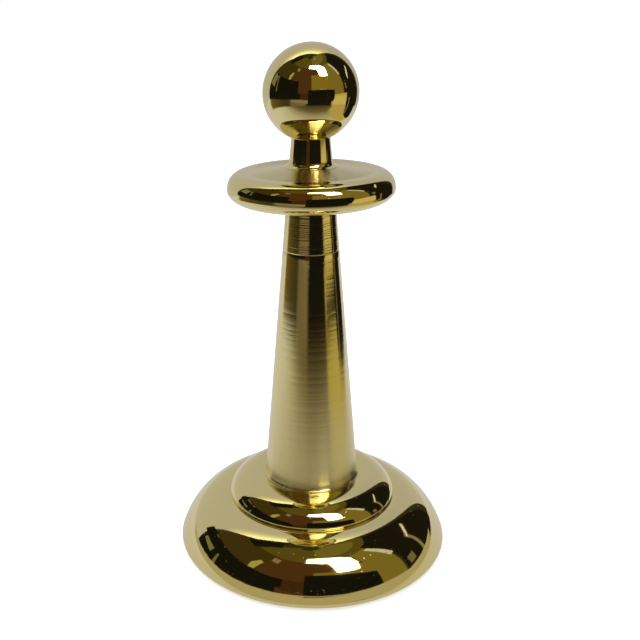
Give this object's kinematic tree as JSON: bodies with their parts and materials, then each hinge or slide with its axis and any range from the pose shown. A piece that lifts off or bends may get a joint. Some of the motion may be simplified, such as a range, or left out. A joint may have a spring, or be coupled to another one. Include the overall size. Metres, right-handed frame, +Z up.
{
  "type": "game token",
  "caption": "Turned brass game token: a ball on a short neck over a bull-nosed collar, a tapered stem, a step ring and a wide domed base with a felt underside.",
  "frame": {"origin": "centre of the felt's underside, on the token's axis, in the plane that it stands on", "axes": "+Z up along the token's axis, from the base to the ball; X and Y are free, because every visible piece is turned about Z"},
  "size_m": [0.0333, 0.0332, 0.0602],
  "materials": {
    "polished_brass": "mirror polish with fine scratches",
    "satin_brass": "fine turning marks, glossy above and satin below",
    "felt": "short napped felt",
    "steel": "plain bright zinc plated steel"
  },
  "bodies": {
    "root": {"ball_head": "polished_brass", "neck": "polished_brass", "collar": "polished_brass", "stem": "satin_brass", "step_ring": "polished_brass", "base": "polished_brass", "felt_pad": "felt", "tie_rod": "steel", "plain_washer": "steel", "spring_washer": "steel", "hex_nut": "steel"}
  },
  "joints": []
}
